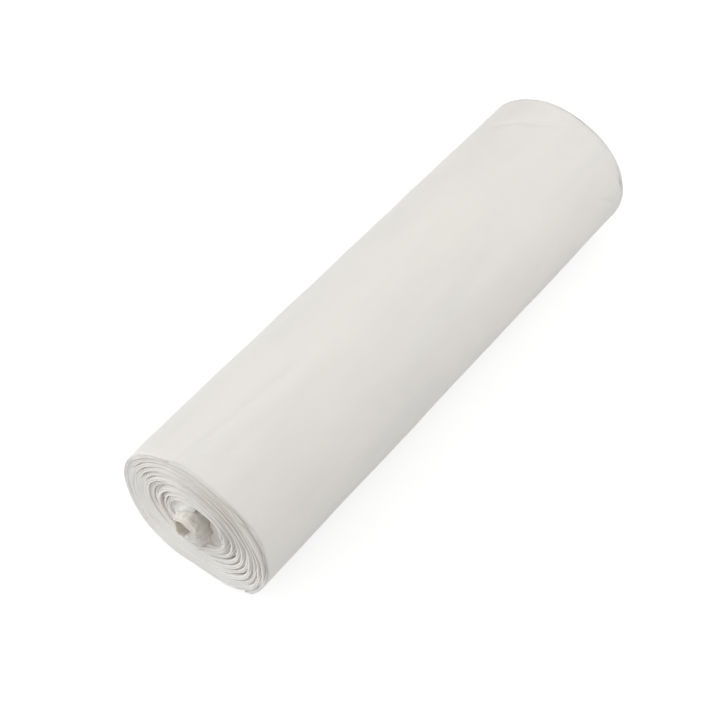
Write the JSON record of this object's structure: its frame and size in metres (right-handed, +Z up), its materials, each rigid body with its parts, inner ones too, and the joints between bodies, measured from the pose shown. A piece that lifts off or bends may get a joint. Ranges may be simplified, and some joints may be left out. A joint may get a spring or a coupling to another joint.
{
  "type": "bin bag roll",
  "caption": "Coreless roll of pale translucent film bin bags, folded into a strip and wound in a spiral, lying on the small flat spot that its weight presses into it.",
  "frame": {"origin": "bottom centre of the roll's box, on the surface that it rests on", "axes": "+Y along the roll, from the end that shows the small inner tube to the other end; +Z up, away from the flat spot"},
  "size_m": [0.07, 0.2444, 0.0595],
  "materials": {
    "film": "milky translucent thin film, softly wrinkled, satin"
  },
  "bodies": {
    "root": {"bag_roll": "film"}
  },
  "joints": []
}
